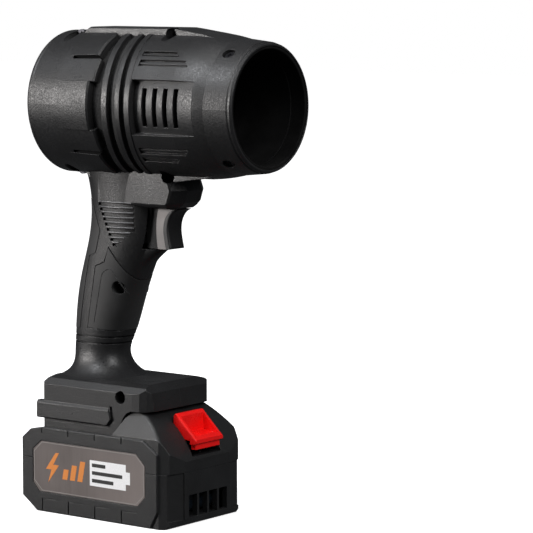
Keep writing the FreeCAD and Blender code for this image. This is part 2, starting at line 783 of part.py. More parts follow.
# ---- trigger and electrics ------------------------------------------------------------------
def trigger_front(setback):
    """The scooped front of the trigger, top to bottom."""
    points = [(100.6, TRIGGER_TOP_Z), (96.2, 186.0), (93.7, 182.2), (92.6, 177.6), (93.1, 171.0),
              (94.6, TRIGGER_BOTTOM_Z)]
    return [(x - setback, z) for x, z in points]


def scooped(front, rear, y0, y1):
    """A slab between two smooth curves in the XZ plane."""
    edges = []
    for points in (front, rear[::-1]):
        curve = Part.BSplineCurve()
        curve.interpolate(Points=[v(x, y0, z) for x, z in points])
        edges.append(curve.toShape())
    (fx, fz), (rx, rz) = front[-1], rear[-1]
    bottom = Part.LineSegment(v(fx, y0, fz), v(rx, y0, rz)).toShape()
    (fx, fz), (rx, rz) = front[0], rear[0]
    top = Part.LineSegment(v(rx, y0, rz), v(fx, y0, fz)).toShape()
    face = Part.Face(Part.Wire([edges[0], bottom, edges[1], top]))
    return face.extrude(v(0, y1 - y0, 0))


def trigger():
    band_rear = [(85.3, TRIGGER_TOP_Z), (84.0, 183.0), (83.6, 177.0), (83.8, 171.0), (84.7, TRIGGER_BOTTOM_Z)]
    band_front = trigger_front(3.6)
    pad = scooped(trigger_front(0.0), band_front, -TRIGGER_HALF, TRIGGER_HALF)
    pad = pad.makeFillet(1.4, front_edges(pad))
    save("trigger_cap", pad)
    save("trigger_band", scooped(band_front, band_rear, -TRIGGER_HALF, TRIGGER_HALF))
    carrier_rear = [(76.0, z) for x, z in band_rear]
    carrier = scooped(band_rear, carrier_rear, -TRIGGER_HALF + 0.6, TRIGGER_HALF - 0.6)
    hollow = block(74.0, 82.0, -TRIGGER_HALF + 2.4, TRIGGER_HALF - 2.4, 167.0, 182.0)
    carrier = carrier.cut(hollow)
    save("trigger_carrier", carrier)
    save("switch_plunger", rod(v(64.0, 0, SWITCH_AXIS_Z), v(76.0, 0, SWITCH_AXIS_Z), 2.2))
    spring_end = v(SWITCH_FRONT + 0.6, 0, SPRING_AXIS_Z)
    save("trigger_spring", coil_spring(spring_end, v(1, 0, 0), 12.2, 5, 3.4, 0.5))


def front_edges(solid):
    """The edges down both sides of the trigger's scooped face and across its foot."""
    found = []
    for edge in solid.Edges:
        box = edge.BoundBox
        tall = box.ZLength > 20
        foot = box.ZMax < TRIGGER_BOTTOM_Z + 0.1
        forward = box.XMin > 92.0
        if forward and (tall or foot):
            found.append(edge)
    return found


def switch():
    body = block(46.0, SWITCH_FRONT, -8.6, 8.6, 166.0, 188.6)
    bore = rod(v(56.0, 0, SWITCH_AXIS_Z), v(SWITCH_FRONT + 1.0, 0, SWITCH_AXIS_Z), 2.4)
    flange = block(48.0, 52.0, -9.4, 9.4, 168.0, 172.0)
    save("switch_body", body.fuse(flange).cut(bore).removeSplitter())


def electronics():
    board = block(15.0, 68.0, -24.0, 24.0, 74.6, 76.2)
    save("control_board", board)
    parts = [rod_y(58.0, 78.6, -20.0, -2.0, 2.4), rod_y(64.4, 78.6, -20.0, -2.0, 2.4)]
    save("board_capacitors", group(parts))
    fins = [block(50.0, 66.0, 4.0 + 2.6 * i, 5.2 + 2.6 * i, 77.6, 81.0) for i in range(7)]
    save("heat_sink", fused([block(50.0, 66.0, 4.0, 20.8, 76.2, 77.8)] + fins))
    carrier = block(18.0, 44.0, -14.0, 14.0, 68.8, 72.6)
    lip = block(15.0, 47.0, -17.0, 17.0, 70.9, 72.7)
    blades = []
    for y in TERMINAL_Y:
        blades.append(block(22.0, 42.0, y - 0.4, y + 0.4, 61.6, 74.6))
    save("terminal_block", carrier.fuse(lip).removeSplitter().cut(blades))
    save("terminal_blades", group(blades))


def leads():
    supply = []
    for y in (-2.6, 2.6):
        route = [v(40.0, y, 76.4), v(40.0, y, 92.0), v(50.0, y, 128.0), v(56.5, y, 165.8)]
        supply.append(bent_tube(route, 1.2, 12.0))
    save("switch_leads", group(supply))
    phases = []
    for y in LEAD_Y:
        route = [v(27.0, y * 1.4, 76.4), v(26.0, y * 1.4, 104.0), v(33.0, y * 1.4, 150.0),
                 v(37.5, y * 1.4, 190.0), v(45.0, y * 1.2, 206.0), v(57.0, y, 212.3),
                 v(LEAD_X, y, 212.3), v(LEAD_X, y, AXIS_Z - 14.2)]
        phases.append(bent_tube(route, LEAD_R, 2.3))
    save("motor_leads", group(phases))


# ---- fasteners ------------------------------------------------------------------------------
def screw(seat, way, head_r, head_height, shank_r, length):
    """A pan head with a cross recess, on a plain shank; `way` points from the tip to the head."""
    head = rod(seat, seat + way * head_height, head_r)
    top = seat + way * (head_height + 0.1)
    side = way.cross(v(1, 0, 0)).normalize()
    bars = []
    for across in (v(1, 0, 0), side):
        other = way.cross(across).normalize()
        centre = top - way * 0.9
        corners = []
        for a, b in ((-1, -1), (1, -1), (1, 1), (-1, 1)):
            corners.append(centre + across * (a * head_r * 0.6) + other * (b * 0.35))
        bars.append(face_of(corners).extrude(way * 1.4))
    shank = rod(seat - way * length, seat + way * 0.1, shank_r)
    return head.cut(bars).fuse(shank).removeSplitter()


def screws():
    shell = []
    for x, z, seat in SHELL_SCREWS:
        shell.append(screw(v(x, seat, z), v(0, -1, 0), SCREW_HEAD_R, 1.9, SCREW_R, SCREW_TIP_Y - seat))
    save("shell_screws", group(shell))
    nozzle = []
    for angle in (54, -54, 126, -126):
        centre, way = nozzle_screw_axis(angle)
        nozzle.append(screw(centre + way * NOZZLE_SEAT_R, way, 2.6, 1.2, SCREW_R, NOZZLE_SEAT_R - 35.0))
    save("nozzle_screws", group(nozzle))
    pack = []
    for x, y, seat in PACK_SCREWS:
        pack.append(screw(v(x, y, seat), v(0, 0, -1), PACK_SCREW_HEAD_R, 1.9, SCREW_R, 30.0))
    save("pack_screws", group(pack))


# ---- battery pack ---------------------------------------------------------------------------
def pack_plan():
    half = PACK_HALF - FRAME_STEP
    return [
        (1.0, -half + 3.0),
        (4.0, -half),
        (FRAME_FRONT, -half),
        (114.6, -33.2),
        (PACK_LENGTH, -21.0),
        (PACK_LENGTH, 21.0),
        (114.6, 33.2),
        (FRAME_FRONT, half),
        (4.0, half),
        (1.0, half - 3.0),
    ]


def curved_side():
    """The pack seen from the side: chamfered base, and a rounded slope at the front."""
    slope_start = v(91.5, 0, PACK_TOP_Z)
    slope_middle = v(106.0, 0, 56.6)
    slope_end = v(PACK_LENGTH, 0, 40.0)
    step = [v(70.6, 0, LEDGE_Z), v(78.2, 0, 63.4), v(80.4, 0, 66.2), v(83.6, 0, PACK_TOP_Z), slope_start]
    rest = [slope_end, v(PACK_LENGTH, 0, 5.0), v(112.0, 0, 0), v(12.0, 0, 0), v(1.0, 0, 9.0),
            v(1.0, 0, 44.0), v(8.0, 0, LEDGE_Z), v(70.6, 0, LEDGE_Z)]
    edges = [Part.LineSegment(a, b).toShape() for a, b in zip(step, step[1:])]
    edges.append(Part.Arc(slope_start, slope_middle, slope_end).toShape())
    edges += [Part.LineSegment(a, b).toShape() for a, b in zip(rest, rest[1:])]
    face = Part.Face(Part.Wire(edges))
    face.translate(v(0, -50, 0))
    return face.extrude(v(0, 100, 0))


def pack_body():
    body = curved_side().common(prism_z(pack_plan(), -1, 80))
    shoulder = [(-PACK_HALF, -1), (-PACK_HALF, 51.4), (-28.6, PACK_TOP_Z), (28.6, PACK_TOP_Z),
                (PACK_HALF, 51.4), (PACK_HALF, -1)]
    body = body.common(prism_x(shoulder, 0, 120))
    return body.makeFillet(SHOULDER_ROUND, shoulder_creases(body))


def shoulder_creases(body):
    """The curved edges where the shoulders meet the front slope."""
    found = []
    for edge in body.Edges:
        middle = edge.valueAt((edge.FirstParameter + edge.LastParameter) / 2)
        on_slope = 92.0 < middle.x < 112.0 and 50.0 < middle.z < 67.0
        if on_slope and 28.0 < abs(middle.y) < PACK_HALF - FRAME_STEP - 0.05:
            found.append(edge)
    return found


def frame_outline(inset=0.0):
    """The eight-sided raised frame on each side of the pack."""
    i = inset
    return [
        (0.3 + i, 8.8 + i * 0.4),
        (12.0 + i * 0.4, 0.35 + i),
        (103.0 - i * 0.4, 0.35 + i),
        (FRAME_FRONT - i, 10.5 + i * 0.4),
        (FRAME_FRONT - i, 45.2 - i * 0.4),
        (97.2 - i * 0.4, FRAME_TOP_Z - i),
        (17.8 + i * 0.4, FRAME_TOP_Z - i),
        (7.2 + i * 0.2, 50.8 - i),
        (0.3 + i, 45.0 - i * 0.4),
    ]


def label_outline(inset=0.0):
    i = inset
    return [(9.2 + i, 18.0), (14.4, 12.2 + i), (93.0, 12.2 + i), (99.2 - i, 18.6), (99.2 - i, 37.6),
            (92.0, 44.6 - i), (16.2, 44.6 - i), (9.2 + i, 38.6)]


def side_frames():
    """Both raised frames, with a label recess and the moulding's tick marks."""
    inner = PACK_HALF - FRAME_STEP
    wires = []
    for y, inset in ((-inner + 2.0, 0.0), (-PACK_HALF + 0.5, 0.0), (-PACK_HALF, 0.6)):
        corners = [v(x, y, z) for x, z in frame_outline(inset)]
        wires.append(Part.makePolygon(corners + corners[:1]))
    frame = Part.makeLoft(wires, True, True)
    cuts = [prism_y(label_outline(), -40, -PACK_HALF + 0.9)]
    for x in (16.9, 38.2, 59.4, 80.6):
        cuts.append(block(x - 0.35, x + 0.35, -40, -PACK_HALF + 0.6, 48.9, 54))
        cuts.append(block(x - 0.35, x + 0.35, -40, -PACK_HALF + 0.6, -1, 8.6))
        cuts.append(block(x, x + 12.0, -40, -PACK_HALF + 0.35, 8.2, 8.6))
    cuts.append(block(-1, 110, -40, -PACK_HALF + 0.3, PACK_SPLIT_Z - 0.2, PACK_SPLIT_Z + 0.2))
    frame = frame.cut(cuts)
    return [frame, mirrored(frame)]


def rail_block():
    """The T-shaped block on top of the pack that slides into the foot's channel."""
    head = block(14.4, 84.0, -RAIL_HEAD_HALF, RAIL_HEAD_HALF, RAIL_HEAD_Z, PACK_TOP_Z)
    neck = block(14.4, 84.0, -RAIL_NECK_HALF, RAIL_NECK_HALF, LEDGE_Z - 3, RAIL_HEAD_Z + 1)
    return [head, neck]


def pack_hollow():
    """Room for the cells, the board above them and the latch behind the slope."""
    button_half = BUTTON_HALF + 0.6
    rooms = [block(3.6, 97.6, -34.0, 34.0, 2.4, 47.6), block(97.0, 107.8, -34.0, 34.0, 2.4, 40.4),
             block(100.0, 113.6, -30.6, 30.6, 2.4, 40.4)]
    for side in (-1, 1):
        low, high = sorted((side * 15.4, side * 30.6))
        rooms.append(block(97.0, 110.6, low, high, 40.0, 47.6))
    rooms.append(block(82.6, 92.0, -button_half, button_half, 46.0, 65.6))
    rooms.append(block(91.0, BUTTON_REAR, -button_half, button_half, 46.0, 60.4))
    rooms.append(block(BUTTON_REAR - 0.5, 125.0, -button_half, button_half, 41.8, 70.0))
    rooms.append(block(83.0, 91.0, -10.6, 10.6, 60.0, 70.0))
    return rooms


def terminal_slots():
    cuts = [block(10, 46.0, y - 1.4, y + 1.4, 60.2, 70) for y in TERMINAL_Y]
    cuts += [block(24.0, 44.0, y - 2.6, y + 2.6, 47.0, 60.4) for y in TERMINAL_Y]
    return cuts


def front_vents():
    pitch = 9.6
    width = 7.9
    first = -(3 * pitch + width) / 2
    return [block(110.0, 120.0, first + pitch * i, first + pitch * i + width, 5.8, 19.2) for i in range(4)]


def pack_cases():
    whole = fused([pack_body()] + rail_block() + side_frames())
    trims = pack_hollow() + terminal_slots() + front_vents()
    for side in (-1, 1):
        plan = [(113.0, side * 34.6), (115.6, side * 32.4), (118.2, side * 22.6), (116.4, side * 22.2),
                (113.8, side * 31.8)]
        trims.append(prism_z(plan, 4.8, PACK_SPLIT_Z))
    whole = whole.cut(trims)
    seam = 0.05
    upper = whole.common(block(-5, 130, -50, 50, PACK_SPLIT_Z + seam, 80))
    lower = whole.common(block(-5, 130, -50, 50, -1, PACK_SPLIT_Z - seam))
    for x, y, seat in PACK_SCREWS:
        lower = lower.fuse(rod(v(x, y, 2.0), v(x, y, PACK_SPLIT_Z - seam), PILLAR_R))
        upper = upper.fuse(rod(v(x, y, PACK_SPLIT_Z + seam), v(x, y, 48.0), PILLAR_R))
        lower = lower.cut(rod(v(x, y, -1), v(x, y, seat), PACK_SCREW_HEAD_R + 0.15))
        lower = lower.cut(rod(v(x, y, -1), v(x, y, 40.0), SCREW_R))
        upper = upper.cut(rod(v(x, y, 30), v(x, y, seat + 30.5), SCREW_R))
    save("pack_upper_case", largest(upper))
    save("pack_lower_case", largest(lower))


def pack_labels():
    plate = prism_y(label_outline(0.5), -PACK_HALF + 0.2, -PACK_HALF + 0.85)
    save("pack_label_right", plate)
    save("pack_label_left", mirrored(plate))


def cell_places():
    return [(CELL_FIRST_X + CELL_PITCH * i, z) for z in CELL_ROWS_Z for i in range(5)]


def pack_inside():
    half = CELL_LENGTH / 2
    cells = []
    for x, z in cell_places():
        body = rod_y(x, z, -half, half - 0.8, CELL_R)
        cells.append(body.fuse(rod_y(x, z, half - 0.9, half, 3.0)))
    save("cells", group(cells))
    holes = [rod_y(x, z, -40, 40, CELL_R + 0.04) for x, z in cell_places()]
    last_x = CELL_FIRST_X + 4 * CELL_PITCH
    for name, y0 in (("cell_holder_right", -29.0), ("cell_holder_left", 26.0)):
        plate = block(CELL_FIRST_X - CELL_R - 0.4, last_x + CELL_R + 0.4, y0, y0 + 3.0, 2.8, 40.9)
        for x, y, seat in PACK_SCREWS:
            plate = plate.cut(rod(v(x, y, 0), v(x, y, 50), PILLAR_R + 0.2))
        save(name, largest(plate.cut(holes)))
    straps = []
    for i in range(5):
        x = CELL_FIRST_X + CELL_PITCH * i
        for y0 in (-half - 0.3, half):
            straps.append(block(x - 3.5, x + 3.5, y0, y0 + 0.3, 8.4, 35.2))
    save("cell_straps", group(straps))
    save("pack_board", block(12.0, 92.0, -27.0, 27.0, 42.6, 44.2))
    clips = []
    for y in TERMINAL_Y:
        clip = block(26.0, 41.0, y - 1.2, y + 1.2, 44.2, 66.4)
        clips.append(clip.cut(block(25.0, 42.0, y - 0.55, y + 0.55, 57.0, 67.0)))
    save("pack_terminals", group(clips))


def release_button():
    """Red thumb latch: a scooped button, a skirt below its lip and the tongue behind it."""
    half = BUTTON_HALF
    rear = BUTTON_REAR
    lip = rear + 17.8
    side = [(rear, 51.2), (rear, 65.0), (rear + 1.2, 66.3), (rear + 2.6, 66.3), (lip, 51.8), (lip, 49.6),
            (lip - 1.4, 48.8), (lip - 4.8, 48.8), (lip - 4.8, 51.2)]
    body = prism_y(side, -half, half)
    rim = [e for e in body.Edges if abs(abs(e.CenterOfMass.y) - half) < 0.01 and e.CenterOfMass.z > 57]
    body = body.makeFillet(0.9, rim)
    skirt = block(lip - 4.6, lip - 1.6, -half + 1.4, half - 1.4, 45.6, 49.2)
    scoop = prism_y([(rear + 4.4, 80), (rear + 4.4, 54.6), (rear + 14.0, 52.9), (lip - 1.4, 54.2),
                     (130, 54.2), (130, 80)], -half + 2.3, half - 2.3)
    tongue = prism_y([(85.0, 55.0), (85.0, 65.6), (86.8, 67.4), (89.4, 67.4), (89.4, 59.0),
                      (rear + 0.2, 59.0), (rear + 0.2, 55.0)], -8.5, 8.5)
    save("release_button", largest(body.cut(scoop).fuse([skirt, tongue]).removeSplitter()))
    save("latch_spring", coil_spring(v(rear + 6.4, 0, 42.3), v(0, 0, 1), 8.4, 5, 3.2, 0.45))


def build():
    os.makedirs("parts", exist_ok=True)
    housing()
    intake_guard()
    inlet_bellmouth()
    stator()
    nozzle_liner()
    tail_cone()
    motor()
    bearings()
    fan()
    trigger()
    switch()
    electronics()
    leads()
    screws()
    pack_cases()
    pack_labels()
    pack_inside()
    release_button()


build()
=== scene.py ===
import json
import math

import bmesh
import bpy
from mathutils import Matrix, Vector
from mathutils.bvhtree import BVHTree


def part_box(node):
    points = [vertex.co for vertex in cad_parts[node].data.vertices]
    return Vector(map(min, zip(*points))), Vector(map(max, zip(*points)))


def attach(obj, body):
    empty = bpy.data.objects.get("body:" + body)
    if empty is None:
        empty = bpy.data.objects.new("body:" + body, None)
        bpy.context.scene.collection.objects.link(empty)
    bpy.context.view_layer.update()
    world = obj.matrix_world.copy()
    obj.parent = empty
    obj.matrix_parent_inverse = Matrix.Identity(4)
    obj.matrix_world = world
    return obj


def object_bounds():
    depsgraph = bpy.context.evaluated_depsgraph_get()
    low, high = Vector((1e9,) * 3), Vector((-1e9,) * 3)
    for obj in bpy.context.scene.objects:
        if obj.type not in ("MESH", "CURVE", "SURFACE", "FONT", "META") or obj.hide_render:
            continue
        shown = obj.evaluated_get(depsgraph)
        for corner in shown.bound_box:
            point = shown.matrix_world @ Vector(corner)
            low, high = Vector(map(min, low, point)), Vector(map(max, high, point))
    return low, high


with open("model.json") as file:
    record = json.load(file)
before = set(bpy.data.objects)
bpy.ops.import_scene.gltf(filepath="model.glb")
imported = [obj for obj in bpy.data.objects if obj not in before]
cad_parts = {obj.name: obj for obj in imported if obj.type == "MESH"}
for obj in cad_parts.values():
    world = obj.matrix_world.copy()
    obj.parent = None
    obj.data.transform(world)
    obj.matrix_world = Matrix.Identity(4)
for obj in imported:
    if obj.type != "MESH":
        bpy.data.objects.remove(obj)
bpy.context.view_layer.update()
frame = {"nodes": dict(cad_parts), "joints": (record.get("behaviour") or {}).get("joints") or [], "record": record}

MM = 0.001

# ---- places, most of them worked out from the frame ------------------------------------------
BOX_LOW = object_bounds()[0]
BARREL_AXIS_Z = next(j for j in frame["joints"] if j["name"] == "fan_spin")["pos_m"][2]
# Barrel surface closer to its axis than this, and behind this x, lies in a sunk band or groove, which the shell's
# material darkens with painted shade.
RECESS_R = 42.6 * MM
RECESS_FRONT_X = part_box("nozzle_liner")[0].x - 16.0 * MM
SIDES = ("right", "left")


def outward_of(side):
    """The sign of Y that points away from the object on this side."""
    return -1 if side == "right" else 1


def outer_face_y(node, side):
    low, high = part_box(node)
    return low.y if side == "right" else high.y


# ---- camera, light and floor -----------------------------------------------------------------
VIEW_AZIMUTH = math.radians(37.286)
VIEW_ELEVATION = math.radians(6.346)
VIEW_DISTANCE = 1.5528
VIEW_TARGET = Vector((0.1029, 0.0, 0.1582))
LENS_MM = 178.6
SENSOR_MM = 36.0

# Softboxes: azimuth and elevation in degrees, distance and size in metres, power in watts, colour.
LIT_POINT = Vector((0.02, 0.0, 0.17))
SOFTBOXES = {
    "key_side": (-41, 10, 1.5, (0.5, 0.42), 18.5, (1.0, 0.97, 0.95)),
    "key_high": (-30, 50, 1.6, (0.6, 0.6), 15, (0.95, 0.97, 1.0)),
    "overhead": (10, 84, 2.2, (1.2, 1.2), 17, (1.0, 1.0, 1.0)),
    "front_fill": (78, 34, 1.7, (0.9, 0.9), 20, (1.0, 1.0, 1.0)),
}
ROOM_LIGHT = 0.07
FLOOR_HALF = 6.0
FLOOR_GAP = 0.2 * MM
# The floor glows a little less under the object, up to the first of these distances from it.
GLOW_DISTANCES = (0.10, 0.55)
GLOW_STRENGTHS = (0.72, 1.0)


def direction(azimuth, elevation):
    """Unit vector from the object; azimuth 0 is -Y and 90 degrees is +X."""
    flat = math.cos(elevation)
    return Vector((math.sin(azimuth) * flat, -math.cos(azimuth) * flat, math.sin(elevation)))


def aim(obj, target):
    obj.rotation_euler = (target - obj.location).to_track_quat("-Z", "Y").to_euler()


def add_camera():
    data = bpy.data.cameras.new("camera")
    data.lens = LENS_MM
    data.sensor_width = SENSOR_MM
    data.clip_end = 20.0
    camera = bpy.data.objects.new("camera", data)
    bpy.context.scene.collection.objects.link(camera)
    camera.location = VIEW_TARGET + direction(VIEW_AZIMUTH, VIEW_ELEVATION) * VIEW_DISTANCE
    aim(camera, VIEW_TARGET)
    bpy.context.scene.camera = camera


def add_softbox(name, azimuth, elevation, distance, size, power, colour):
    data = bpy.data.lights.new(name, "AREA")
    data.shape = "RECTANGLE"
    data.size = size[0]
    data.size_y = size[1]
    data.energy = power
    data.color = colour
    light = bpy.data.objects.new(name, data)
    bpy.context.scene.collection.objects.link(light)
    light.location = LIT_POINT + direction(math.radians(azimuth), math.radians(elevation)) * distance
    aim(light, LIT_POINT)


def add_lights():
    for name, softbox in SOFTBOXES.items():
        add_softbox(name, *softbox)


def add_world():
    """A weak, slightly blue light all round, seen as plain white behind the object."""
    world = bpy.data.worlds.new("studio")
    bpy.context.scene.world = world
    world.use_nodes = True
    nodes = world.node_tree.nodes
    links = world.node_tree.links
    nodes.clear()
    out = nodes.new("ShaderNodeOutputWorld")
    mix = nodes.new("ShaderNodeMixShader")
    seen = nodes.new("ShaderNodeBackground")
    light = nodes.new("ShaderNodeBackground")
    path = nodes.new("ShaderNodeLightPath")
    seen.inputs["Color"].default_value = (1.0, 1.0, 1.0, 1.0)
    light.inputs["Color"].default_value = (0.92, 0.95, 1.0, 1.0)
    light.inputs["Strength"].default_value = ROOM_LIGHT
    links.new(path.outputs["Is Camera Ray"], mix.inputs["Fac"])
    links.new(light.outputs[0], mix.inputs[1])
    links.new(seen.outputs[0], mix.inputs[2])
    links.new(mix.outputs[0], out.inputs["Surface"])


def add_floor():
    mesh = bpy.data.meshes.new("floor")
    half = FLOOR_HALF
    corners = [(-half, -half, 0), (half, -half, 0), (half, half, 0), (-half, half, 0)]
    mesh.from_pydata(corners, [], [(0, 1, 2, 3)])
    floor = bpy.data.objects.new("floor", mesh)
    bpy.context.scene.collection.objects.link(floor)
    floor.location.z = BOX_LOW.z - FLOOR_GAP
    floor.visible_glossy = False
    floor.visible_diffuse = False
    material = bpy.data.materials.new("studio_floor")
    material.use_nodes = True
    shader = material.node_tree.nodes["Principled BSDF"]
    shader.inputs["Base Color"].default_value = (0.8, 0.8, 0.8, 1.0)
    shader.inputs["Roughness"].default_value = 0.9
    shader.inputs["Specular IOR Level"].default_value = 0.0
    shader.inputs["Emission Color"].default_value = (1.0, 1.0, 1.0, 1.0)
    nodes = material.node_tree.nodes
    links = material.node_tree.links
    source = nodes.new("ShaderNodeTexCoord")
    far = nodes.new("ShaderNodeVectorMath")
    far.operation = "LENGTH"
    glow = nodes.new("ShaderNodeMapRange")
    glow.inputs["From Min"].default_value, glow.inputs["From Max"].default_value = GLOW_DISTANCES
    glow.inputs["To Min"].default_value, glow.inputs["To Max"].default_value = GLOW_STRENGTHS
    links.new(source.outputs["Object"], far.inputs[0])
    links.new(far.outputs["Value"], glow.inputs["Value"])
    links.new(glow.outputs["Result"], shader.inputs["Emission Strength"])
    mesh.materials.append(material)


# ---- materials -------------------------------------------------------------------------------
class Nodes:
    """A small helper that adds and links shader nodes in one material."""

    def __init__(self, name):
        self.material = bpy.data.materials.new(name)
        self.material.use_nodes = True
        self.tree = self.material.node_tree
        self.shader = self.tree.nodes["Principled BSDF"]

    def new(self, kind, **settings):
        node = self.tree.nodes.new(kind)
        for key, value in settings.items():
            setattr(node, key, value)
        return node

    def link(self, a, b):
        self.tree.links.new(a, b)

    def coordinates(self, scale=(1.0, 1.0, 1.0)):
        source = self.new("ShaderNodeTexCoord")
        mapping = self.new("ShaderNodeMapping")
        mapping.inputs["Scale"].default_value = scale
        self.link(source.outputs["Object"], mapping.inputs["Vector"])
        return mapping.outputs["Vector"]

    def noise(self, vector, scale, detail=2.0, roughness=0.5):
        node = self.new("ShaderNodeTexNoise")
        node.inputs["Scale"].default_value = scale
        node.inputs["Detail"].default_value = detail
        node.inputs["Roughness"].default_value = roughness
        self.link(vector, node.inputs["Vector"])
        return node.outputs["Fac"]

    def spread(self, value, low, high, from_low=0.3, from_high=0.7):
        """`value` mapped so that from_low gives `low` and from_high gives `high`."""
        node = self.new("ShaderNodeMapRange")
        node.inputs["From Min"].default_value = from_low
        node.inputs["From Max"].default_value = from_high
        node.inputs["To Min"].default_value = low
        node.inputs["To Max"].default_value = high
        self.link(value, node.inputs["Value"])
        return node.outputs["Result"]

    def mix_colour(self, factor, a, b):
        node = self.new("ShaderNodeMix", data_type="RGBA")
        self.link(factor, node.inputs["Factor"])
        for socket, colour in ((node.inputs["A"], a), (node.inputs["B"], b)):
            if isinstance(colour, tuple):
                socket.default_value = (*colour, 1.0)
            else:
                self.link(colour, socket)
        return node.outputs["Result"]

    def maths(self, operation, a, b):
        node = self.new("ShaderNodeMath", operation=operation)
        for socket, value in ((node.inputs[0], a), (node.inputs[1], b)):
            if isinstance(value, (int, float)):
                socket.default_value = value
            else:
                self.link(value, socket)
        return node.outputs[0]

    def bump(self, height, distance, strength, normal=None):
        node = self.new("ShaderNodeBump")
        node.inputs["Distance"].default_value = distance
        node.inputs["Strength"].default_value = strength
        self.link(height, node.inputs["Height"])
        if normal is not None:
            self.link(normal, node.inputs["Normal"])
        return node.outputs["Normal"]

    def rounded_edges(self, radius):
        node = self.new("ShaderNodeBevel", samples=4)
        node.inputs["Radius"].default_value = radius
        return node.outputs["Normal"]

    def edge_mask(self, rounded):
        """1 along sharp edges, 0 on open faces."""
        geometry = self.new("ShaderNodeNewGeometry")
        dot = self.new("ShaderNodeVectorMath", operation="DOT_PRODUCT")
        self.link(rounded, dot.inputs[0])
        self.link(geometry.outputs["Normal"], dot.inputs[1])
        return self.spread(dot.outputs["Value"], 1.0, 0.0, 0.86, 0.995)


def barrel_recess_shade_mask(n):
    """Where the barrel's painted shade goes: 1 in the bands and grooves sunk into the barrel, 0 on its open
    surface and off the barrel.
    """
    place = n.new("ShaderNodeTexCoord")
    offset = n.new("ShaderNodeVectorMath", operation="SUBTRACT")
    offset.inputs[1].default_value = (0.0, 0.0, BARREL_AXIS_Z)
    n.link(place.outputs["Object"], offset.inputs[0])
    across = n.new("ShaderNodeVectorMath", operation="MULTIPLY")
    across.inputs[1].default_value = (0.0, 1.0, 1.0)
    n.link(offset.outputs["Vector"], across.inputs[0])
    length = n.new("ShaderNodeVectorMath", operation="LENGTH")
    n.link(across.outputs["Vector"], length.inputs[0])
    sunk = n.spread(length.outputs["Value"], 1.0, 0.0, RECESS_R, RECESS_R + 0.5 * MM)
    parts = n.new("ShaderNodeSeparateXYZ")
    n.link(place.outputs["Object"], parts.inputs[0])
    behind_nozzle = n.spread(parts.outputs["X"], 1.0, 0.0, RECESS_FRONT_X, RECESS_FRONT_X + 1.0 * MM)
    return n.maths("MULTIPLY", sunk, behind_nozzle)


def moulded_plastic(name, colour, roughness, grain_mm, grain, edge_mm, wear, shade_recesses=False, speckle=0.1,
                    specular=0.5):
    """Injection-moulded plastic: spark-eroded grain, slow gloss variation, rubbed edges and, if asked, painted
    shade in the barrel's sunk bands and grooves.
    """
    n = Nodes(name)
    here = n.coordinates()
    rounded = n.rounded_edges(edge_mm * MM)
    edges = n.edge_mask(rounded)
    cloud = n.noise(here, 55.0, 3.0)
    fine = n.noise(here, 1.0 / (grain_mm * MM), 3.0, 0.65)
    light = tuple(min(1.0, c * 1.25 + 0.004) for c in colour)
    dark = tuple(c * 0.82 for c in colour)
    rubbed = tuple(min(1.0, c * 1.9 + 0.012) for c in colour)
    body = n.mix_colour(n.spread(cloud, 0.0, 1.0), dark, light)
    patchy = n.maths("MULTIPLY", edges, n.spread(n.noise(here, 190.0, 3.0), 0.0, wear))
    finish = n.mix_colour(patchy, body, rubbed)
    gloss = n.spread(cloud, roughness + 0.05, roughness - 0.05)
    gloss = n.maths("ADD", gloss, n.spread(fine, -speckle, speckle))
    gloss = n.maths("SUBTRACT", gloss, n.maths("MULTIPLY", patchy, 0.18))
    if shade_recesses:
        # Painted shade: the sunk bands and grooves get a quarter of the colour and a rougher finish.
        sunk = barrel_recess_shade_mask(n)
        finish = n.mix_colour(sunk, finish, tuple(c * 0.25 for c in colour))
        gloss = n.maths("ADD", gloss, n.maths("MULTIPLY", sunk, 0.42))
    n.link(finish, n.shader.inputs["Base Color"])
    n.link(gloss, n.shader.inputs["Roughness"])
    n.link(n.bump(fine, 0.22 * MM, grain, rounded), n.shader.inputs["Normal"])
    n.shader.inputs["Specular IOR Level"].default_value = specular
    return n.material


def soft_rubber(name, colour):
    """Matt soft plastic with a faint sheen and a very fine grain."""
    n = Nodes(name)
    here = n.coordinates()
    rounded = n.rounded_edges(0.25 * MM)
    cloud = n.noise(here, 70.0, 3.0)
    fine = n.noise(here, 3200.0, 2.0, 0.6)
    lighter = tuple(c * 1.35 + 0.003 for c in colour)
    n.link(n.mix_colour(n.spread(cloud, 0.0, 1.0), colour, lighter), n.shader.inputs["Base Color"])
    n.link(n.spread(cloud, 0.52, 0.64), n.shader.inputs["Roughness"])
    n.link(n.bump(fine, 0.05 * MM, 0.5, rounded), n.shader.inputs["Normal"])
    n.shader.inputs["Sheen Weight"].default_value = 0.08
    n.shader.inputs["Sheen Roughness"].default_value = 0.5
    return n.material


def metal(name, colour, roughness, brushed_along=(1.0, 1.0, 1.0)):
    """Metal with slow stains, and streaks that are narrow along the axes with large factors."""
    n = Nodes(name)
    here = n.coordinates(brushed_along)
    streaks = n.noise(here, 900.0, 3.0, 0.6)
    stain = n.noise(here, 40.0, 3.0)
    darker = tuple(c * 0.72 for c in colour)
    n.link(n.mix_colour(n.spread(stain, 0.0, 1.0), darker, colour), n.shader.inputs["Base Color"])
    n.link(n.spread(streaks, roughness - 0.07, roughness + 0.10), n.shader.inputs["Roughness"])
    n.link(n.bump(streaks, 0.03 * MM, 0.35), n.shader.inputs["Normal"])
    n.shader.inputs["Metallic"].default_value = 1.0
    return n.material


# Where the painted reflection on the label plates fades in, along X.
REFLECTION_FROM_TO_X = (-20 * MM, 30 * MM)


